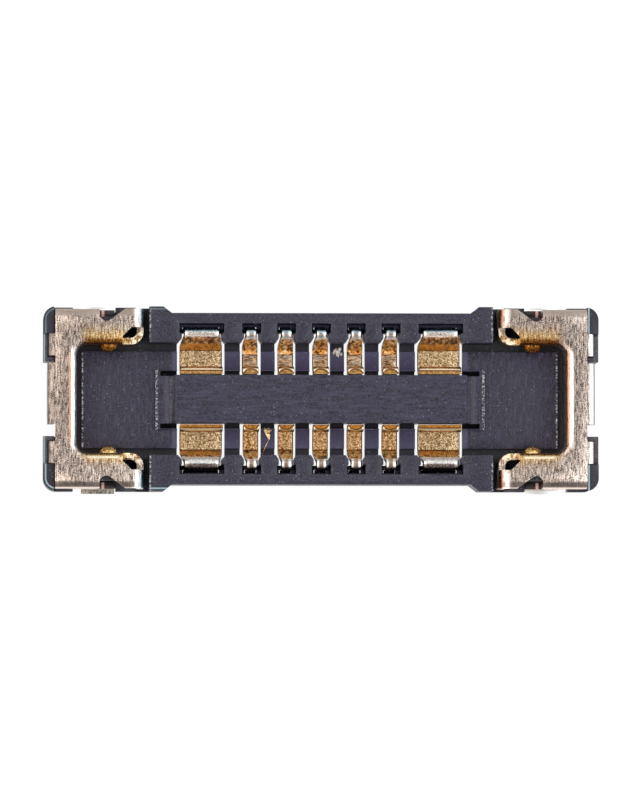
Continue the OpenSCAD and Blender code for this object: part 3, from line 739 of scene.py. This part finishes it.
def bent_strip(name, width, neck, settings):
    """A strip section swept through its bends, then narrowed to a neck over the wall."""
    strip = settings.strip
    at, bends = strip_path(strip)
    deselect()
    bpy.ops.mesh.primitive_plane_add(size=1, rotation=(math.radians(90), 0, 0), location=metres(0, *at))
    obj = added(name)
    obj.scale = (width * MM, strip * MM, 1)
    place_here(obj)
    edit(obj, "SELECT")
    bpy.ops.mesh.bevel(offset=settings.rounding * MM, segments=4, affect="VERTICES")
    bpy.ops.mesh.delete(type="ONLY_FACE")
    bpy.ops.mesh.select_all(action="SELECT")
    for centre, radius, first, last in bends:
        start = on_circle(centre, radius, first)
        bpy.ops.mesh.extrude_region_move(
            TRANSFORM_OT_translate={"value": metres(0, start[0] - at[0], start[1] - at[1])})
        bpy.ops.mesh.spin(steps=settings.bend_steps, angle=math.radians(first - last),
                          center=metres(0, *centre), axis=(1, 0, 0))
        at = on_circle(centre, radius, last)
    bpy.ops.mesh.select_all(action="SELECT")
    bpy.ops.mesh.remove_doubles(threshold=1e-7)
    bpy.ops.mesh.select_all(action="DESELECT")
    bpy.ops.mesh.select_non_manifold()
    bpy.ops.mesh.fill_holes(sides=0)
    for cut in (SHOULDER_Y, NECK_Y):
        bpy.ops.mesh.select_all(action="SELECT")
        bpy.ops.mesh.bisect(plane_co=(0, cut * MM, 0), plane_no=(0, 1, 0))
    for side in (1, -1):
        select_where(obj, lambda v: v.co.y > (NECK_Y - 0.001) * MM and v.co.x * side > 0)
        bpy.ops.transform.translate(value=(-side * (width - neck) / 2 * MM, 0, 0))
    bpy.ops.mesh.select_all(action="SELECT")
    bpy.ops.mesh.normals_make_consistent(inside=False)
    object_mode()
    return obj


def join_barbs(obj, width):
    """Joins on a rounded block that is wider than the strip, where it is pressed into its slot."""
    barb = block("barb", (0, BARB_Y, BARB_Z), (width, BARB_DEPTH, BARB_HEIGHT))
    edit(barb, "SELECT")
    bpy.ops.mesh.bevel(offset=BARB_ROUNDING * MM, segments=2)
    object_mode()
    combine(obj, barb, "UNION")


def place_contact(model, name, x, turn, material):
    """Sets a copy of a contact in its row and plates it."""
    obj = copy_of(model, f"formed_{name}")
    obj.location = (x * MM, 0, 0)
    obj.rotation_euler = (0, 0, turn)
    place_here(obj)
    smooth(obj, 35)
    finish_piece(obj, material, "contact_gold", name)


class CONNECTOR_OT_signal_contacts(bpy.types.Operator):
    """Bends the narrow signal contacts, coins a curved step into their tips and sets them in both rows"""
    bl_idname = "connector.signal_contacts"
    bl_label = "Signal contacts"

    def execute(self, context):
        settings = context.scene.connector_contacts
        width, neck, over_barbs = SIGNAL_WIDTHS
        model = bent_strip("signal_model", width, neck, settings)
        deselect()
        bpy.ops.mesh.primitive_cylinder_add(
            vertices=64, radius=COIN_RADIUS * MM, depth=CUTTER_DEPTH * MM,
            location=metres(0, COIN_EDGE - COIN_RADIUS, COIN_LEVEL + CUTTER_DEPTH / 2))
        combine(model, added("coin"), "DIFFERENCE")
        join_barbs(model, over_barbs)
        gold = settings.gold[:3]
        # Painted reflections: the rows are copies of one gold, darker and greyer along row a, warmer along
        # row b
        row_reflections = {"a": (scaled(gold, 0.9), 0.6), "b": (scaled(gold, 1.15, 1.0, 0.85), 0.1)}
        finishes = {row: gold_material(f"Contact plating {row}", settings, *row_reflections[row],
                                       COIN_RADIUS, PLATING_AND_PAINTED_LIGHT[row]) for row in ROWS}
        for row, turn in ROWS.items():
            for column in SIGNAL_COLUMNS:
                x = (column - MIDDLE_COLUMN) * PITCH + SHIFTS[f"{row}{column}"]
                place_contact(model, f"signal_contact_{row}{column}", x, turn, finishes[row])
        bpy.data.objects.remove(model)
        return {"FINISHED"}


class CONNECTOR_OT_power_contacts(bpy.types.Operator):
    """Bends the wide power contacts, coins a straight step into their tips and sets them at the row ends"""
    bl_idname = "connector.power_contacts"
    bl_label = "Power contacts"

    def execute(self, context):
        settings = context.scene.connector_contacts
        width, neck, over_barbs = POWER_WIDTHS
        model = bent_strip("power_model", width, neck, settings)
        cutter_length = 0.2
        middle = (0, STRAIGHT_COIN_EDGE - cutter_length / 2, COIN_LEVEL + CUTTER_DEPTH / 2)
        combine(model, block("coin", middle, (0.5, cutter_length, CUTTER_DEPTH)), "DIFFERENCE")
        join_barbs(model, over_barbs)
        rich = scaled(settings.gold[:3], 1.0, 1.16, 1.2)
        finishes = {row: gold_material(f"Power plating {row}", settings, rich, 0.15, 0,
                                       {**PLATING_AND_PAINTED_LIGHT[row], **WIDE_PLATING_AND_PAINTED_LIGHT[row]}) for row in ROWS}
        for row, turn in ROWS.items():
            for number, x in ((1, -POWER_X), (2, POWER_X)):
                place_contact(model, f"power_contact_{row}{number}", x, turn, finishes[row])
        bpy.data.objects.remove(model)
        return {"FINISHED"}


class CONNECTOR_OT_hold_downs(bpy.types.Operator):
    """Rounds the cut edges of the drawn hold-downs and gives them their plated finish"""
    bl_idname = "connector.hold_downs"
    bl_label = "Hold-downs"

    def execute(self, context):
        settings = context.scene.connector_body
        finish = sheet_material(settings)
        for side in ("left", "right"):
            obj = merged_copy(f"hold_down_{side}", f"drawn_hold_down_{side}")
            apply_modifier(obj, "BEVEL", "Cut edges", width=settings.sheet_edge * MM, segments=2,
                           limit_method="ANGLE", angle_limit=math.radians(50), use_clamp_overlap=True)
            smooth(obj, 35)
            apply_modifier(obj, "WEIGHTED_NORMAL", "Flat faces", keep_sharp=True)
            finish_piece(obj, finish, "hold_down_metal", f"hold_down_{side}")
        return {"FINISHED"}


class CONNECTOR_OT_housing(bpy.types.Operator):
    """Rounds the long edges of the moulded housing and gives it its plastic"""
    bl_idname = "connector.housing"
    bl_label = "Housing"

    def execute(self, context):
        settings = context.scene.connector_body
        obj = merged_copy("housing", "moulded_housing")
        sides = {}
        for face in obj.data.polygons:
            for key in face.edge_keys:
                sides.setdefault(key, []).append(face)
        corners = obj.data.vertices
        lowest, shortest = metres(0.15, 0.03)

        def rim(edge):
            """Long edge between an upward face and an outward wall."""
            first, second = (corners[i].co for i in edge.vertices)
            faces = sides.get(tuple(sorted(edge.vertices)), [])
            if len(faces) != 2 or min(first.z, second.z) < lowest or (first - second).length < shortest:
                return False
            top, wall = sorted(faces, key=lambda face: -face.normal.z)
            return top.normal.z > 0.9 and abs(wall.normal.z) < 0.3 and (wall.center - top.center).z < 0

        edit(obj)
        select_where(obj, rim, "EDGE")
        bpy.ops.mesh.bevel(offset=settings.plastic_edge * MM, segments=2, clamp_overlap=True)
        smooth(obj, 35)
        apply_modifier(obj, "WEIGHTED_NORMAL", "Flat faces", keep_sharp=True)
        finish_piece(obj, plastic_material(settings), "housing_plastic", "housing")
        return {"FINISHED"}


# Dirt

def torn_shaving():
    """A torn three-cornered flake with a fine whisker."""
    half_width, half_length, thickness, torn, whisker_radius, whisker_length = metres(
        0.055, 0.082, 0.006, 0.012, 0.004, 0.19)
    deselect()
    bpy.ops.mesh.primitive_circle_add(vertices=3, radius=1.0, fill_type="NGON")
    flake = added("gold_shaving")
    edit(flake, "SELECT")
    bpy.ops.transform.rotate(value=math.pi, orient_axis="Z", center_override=(0, 0, 0))
    bpy.ops.transform.resize(value=(half_width, half_length, 1), center_override=(0, 0, 0))
    bpy.ops.mesh.subdivide(number_cuts=3)
    bpy.ops.transform.vertex_random(offset=torn, uniform=0.2, seed=4)
    bpy.ops.mesh.extrude_region_move(TRANSFORM_OT_translate={"value": (0, 0, thickness)})
    bpy.ops.mesh.select_all(action="SELECT")
    bpy.ops.mesh.normals_make_consistent(inside=False)
    object_mode()
    flake.location = metres(*SHAVING_AT)
    flake.rotation_euler = (0.12, 0.2, 0.08)
    place_here(flake)
    deselect()
    bpy.ops.mesh.primitive_cylinder_add(vertices=8, radius=whisker_radius, depth=whisker_length,
                                        rotation=(math.pi / 2, 0, -0.42), location=metres(*WHISKER_AT))
    whisker = added("whisker")
    edit(whisker)
    select_where(whisker, lambda v: v.co.z < 0)
    bpy.ops.transform.resize(value=(0.3, 0.3, 0.3))
    place_here(whisker)
    pick(whisker, flake)
    bpy.ops.object.join()
    smooth(flake, 30)
    return flake


def rough_crumb():
    """Six rough grains of falling size, laid in a spiral and joined."""
    bits = []
    x, y = CRUMB_AT
    for number in range(6):
        turn = number * 2.4
        reach = 0.019 * math.sqrt(number)
        size = 0.026 - 0.0022 * number
        middle = metres(x + reach * math.cos(turn), y + reach * math.sin(turn), FLOOR_TOP + size * 0.8)
        deselect()
        bpy.ops.mesh.primitive_ico_sphere_add(subdivisions=2, radius=size * MM, location=middle)
        bits.append(added("pale_crumb"))
        edit(bits[-1], "SELECT")
        bpy.ops.transform.vertex_random(offset=size * 0.4 * MM, uniform=0.0, seed=number)
        place_here(bits[-1])
    pick(*reversed(bits))
    bpy.ops.object.join()
    return bits[0]


class CONNECTOR_OT_dirt(bpy.types.Operator):
    """Drops a shaving of gold beside row b and a pale crumb beside row a, both on the cavity floor"""
    bl_idname = "connector.dirt"
    bl_label = "Shaving and crumb"

    def execute(self, context):
        settings = context.scene.connector_contacts
        flake = torn_shaving()
        plating = gold_material("Shaving gold", settings, scaled(settings.gold[:3], 1.2), 0.0, 0, PLATING_AND_PAINTED_LIGHT["b"])
        finish_piece(flake, plating, "contact_gold")
        crumb = rough_crumb()
        material, nodes, shader, place, _ = start_material("Pale crumb")
        grit = nodes.spread(nodes.noise(place, 90000.0), 0.4, 0.6)
        nodes.fill(shader["Base Color"], nodes.mix(grit, (0.16, 0.14, 0.13), (0.95, 0.90, 0.82)))
        finish_piece(crumb, material, "contact_gold")
        return {"FINISHED"}


# Floor, light and camera

def seen_directly(nodes):
    """1 for rays that see the floor itself or its mirror image."""
    path = nodes.add("ShaderNodeLightPath").outputs
    mirrored = nodes.math("MAXIMUM", path["Is Glossy Ray"], path["Is Transmission Ray"])
    return nodes.math("MAXIMUM", path["Is Camera Ray"], mirrored)


def floor_material(settings):
    material, nodes, _, _, (x, y, _) = start_material("Floor")
    material.node_tree.nodes.remove(material.node_tree.nodes["Principled BSDF"])
    cloth = nodes.add("ShaderNodeBsdfDiffuse", {"Color": (0.8, 0.8, 0.8, 1.0)})
    faint = nodes.add("ShaderNodeBsdfDiffuse", {"Color": (0.15, 0.15, 0.15, 1.0)})
    # Painted shadow: the floor's glow is turned off under the solder legs, where no light reaches
    painted_shadow = nodes.times(band(nodes, x, 2.0, 2.5, 0.01), band(nodes, y, 0.76, 0.895, 0.01))
    lit = nodes.spread(painted_shadow, 0.0, 1.0, settings.floor_glow, 0.0)
    glow = nodes.add("ShaderNodeEmission", None, {"Strength": lit})
    seen = nodes.add("ShaderNodeAddShader", None, {0: faint.outputs[0], 1: glow.outputs[0]})
    shaders = {0: seen_directly(nodes), 1: cloth.outputs[0], 2: seen.outputs[0]}
    mixed = nodes.add("ShaderNodeMixShader", None, shaders)
    nodes.fill(material.node_tree.nodes["Material Output"].inputs["Surface"], mixed.outputs[0])
    return material


def sky(settings):
    """White behind the object; to metal, a room with bright boxes at the ends, warm left and cool right."""
    world = bpy.data.worlds.new("Studio")
    world.use_nodes = True
    nodes = Nodes(world.node_tree)
    back = world.node_tree.nodes["Background"].inputs
    direction = nodes.add("ShaderNodeTexCoord").outputs["Generated"]
    x, y, z = nodes.add("ShaderNodeSeparateXYZ", None, {0: direction}).outputs
    level = nodes.math("SQRT", nodes.math("SUBTRACT", 1.001, nodes.times(z, z)))
    ends = nodes.math("POWER", nodes.math("DIVIDE", nodes.math("ABSOLUTE", x), level), 2.0)
    rear = nodes.math("POWER", nodes.math("MAXIMUM", nodes.math("DIVIDE", y, level), 0.0), 2.0)
    room = nodes.math("ADD", nodes.times(ends, settings.side_light), nodes.times(rear, settings.rear_light))
    room = nodes.math("ADD", room, settings.front_light)
    path = nodes.add("ShaderNodeLightPath").outputs
    mirrored = nodes.add("ShaderNodeMix", {2: settings.zenith}, {0: nodes.spread(z, 0.99, 0.86), 3: room})
    light = nodes.add("ShaderNodeMix", {2: settings.sky}, {0: path["Is Glossy Ray"], 3: mirrored.outputs[0]})
    shown = nodes.add("ShaderNodeMix", {3: 1.0}, {0: path["Is Camera Ray"], 2: light.outputs[0]})
    nodes.fill(back["Strength"], shown.outputs[0])
    tint = nodes.mix(nodes.spread(x, -0.7, 0.7), (1.0, 0.95, 0.90), (0.94, 0.99, 1.0))
    nodes.fill(back["Color"], nodes.mix(path["Is Glossy Ray"], (1.0, 1.0, 1.0), tint))
    return world


class CONNECTOR_OT_stage(bpy.types.Operator):
    """Sets the floor, the soft lamps and the camera straight above the mating side"""
    bl_idname = "connector.stage"
    bl_label = "Stage"

    def execute(self, context):
        settings = context.scene.connector_stage
        scene = context.scene
        scene.view_settings.view_transform = "Standard"

        deselect()
        bpy.ops.mesh.primitive_plane_add(size=1.0, location=(0, 0, -0.000001))
        floor = added("floor")
        floor.data.materials.append(floor_material(settings))

        scene.world = sky(settings)

        # The box overhead lights the plastic; the metal mirrors the room
        lamp = bpy.data.lights.new("box_top", "AREA")
        lamp.shape = "SQUARE"
        lamp.size = settings.lamp_size
        lamp.energy = settings.top_light * math.pi * settings.lamp_size ** 2
        lamp_object = bpy.data.objects.new("box_top", lamp)
        scene.collection.objects.link(lamp_object)
        lamp_object.location = (0, 0, settings.lamp_height)
        lamp_object.visible_camera = False
        lamp_object.visible_glossy = False

        camera = bpy.data.cameras.new("camera")
        camera.sensor_width = 36.0
        camera.lens = camera.sensor_width * settings.distance / settings.view_height
        camera.clip_start = 0.001
        camera.clip_end = 2.0
        camera_object = bpy.data.objects.new("camera", camera)
        scene.collection.objects.link(camera_object)
        aim = Vector((-0.005, -0.004, 0.3)) * MM
        towards = Vector((-math.tan(settings.lean_left), -math.tan(settings.lean_front), 1.0)).normalized()
        right = Vector((0, 1, 0)).cross(towards).normalized()
        turned = Matrix((right, towards.cross(right), towards)).transposed()
        camera_object.rotation_euler = turned.to_euler()
        camera_object.location = aim + towards * settings.distance
        scene.camera = camera_object
        return {"FINISHED"}


class CONNECTOR_PT_panel(bpy.types.Panel):
    bl_label = "Connector"
    bl_idname = "CONNECTOR_PT_panel"
    bl_space_type = "VIEW_3D"
    bl_region_type = "UI"
    bl_category = "Connector"

    def draw(self, context):
        for operator in OPERATORS:
            self.layout.operator(operator.bl_idname)
        scene = context.scene
        for group in (scene.connector_contacts, scene.connector_body, scene.connector_stage):
            box = self.layout.box()
            for key in group.__annotations__:
                box.prop(group, key)


OPERATORS = (
    CONNECTOR_OT_housing, CONNECTOR_OT_hold_downs, CONNECTOR_OT_signal_contacts, CONNECTOR_OT_power_contacts,
    CONNECTOR_OT_dirt, CONNECTOR_OT_stage,
)
CLASSES = (ContactSettings, BodySettings, StageSettings, *OPERATORS, CONNECTOR_PT_panel)


def register():
    for cls in CLASSES:
        bpy.utils.register_class(cls)
    bpy.types.Scene.connector_contacts = bpy.props.PointerProperty(type=ContactSettings)
    bpy.types.Scene.connector_body = bpy.props.PointerProperty(type=BodySettings)
    bpy.types.Scene.connector_stage = bpy.props.PointerProperty(type=StageSettings)


def unregister():
    for name in ("connector_contacts", "connector_body", "connector_stage"):
        delattr(bpy.types.Scene, name)
    for cls in reversed(CLASSES):
        bpy.utils.unregister_class(cls)


def main():
    register()
    bpy.ops.connector.housing()
    bpy.ops.connector.hold_downs()
    bpy.ops.connector.signal_contacts()
    bpy.ops.connector.power_contacts()
    bpy.ops.connector.dirt()
    bpy.ops.connector.stage()


if __name__ == "__main__":
    main()
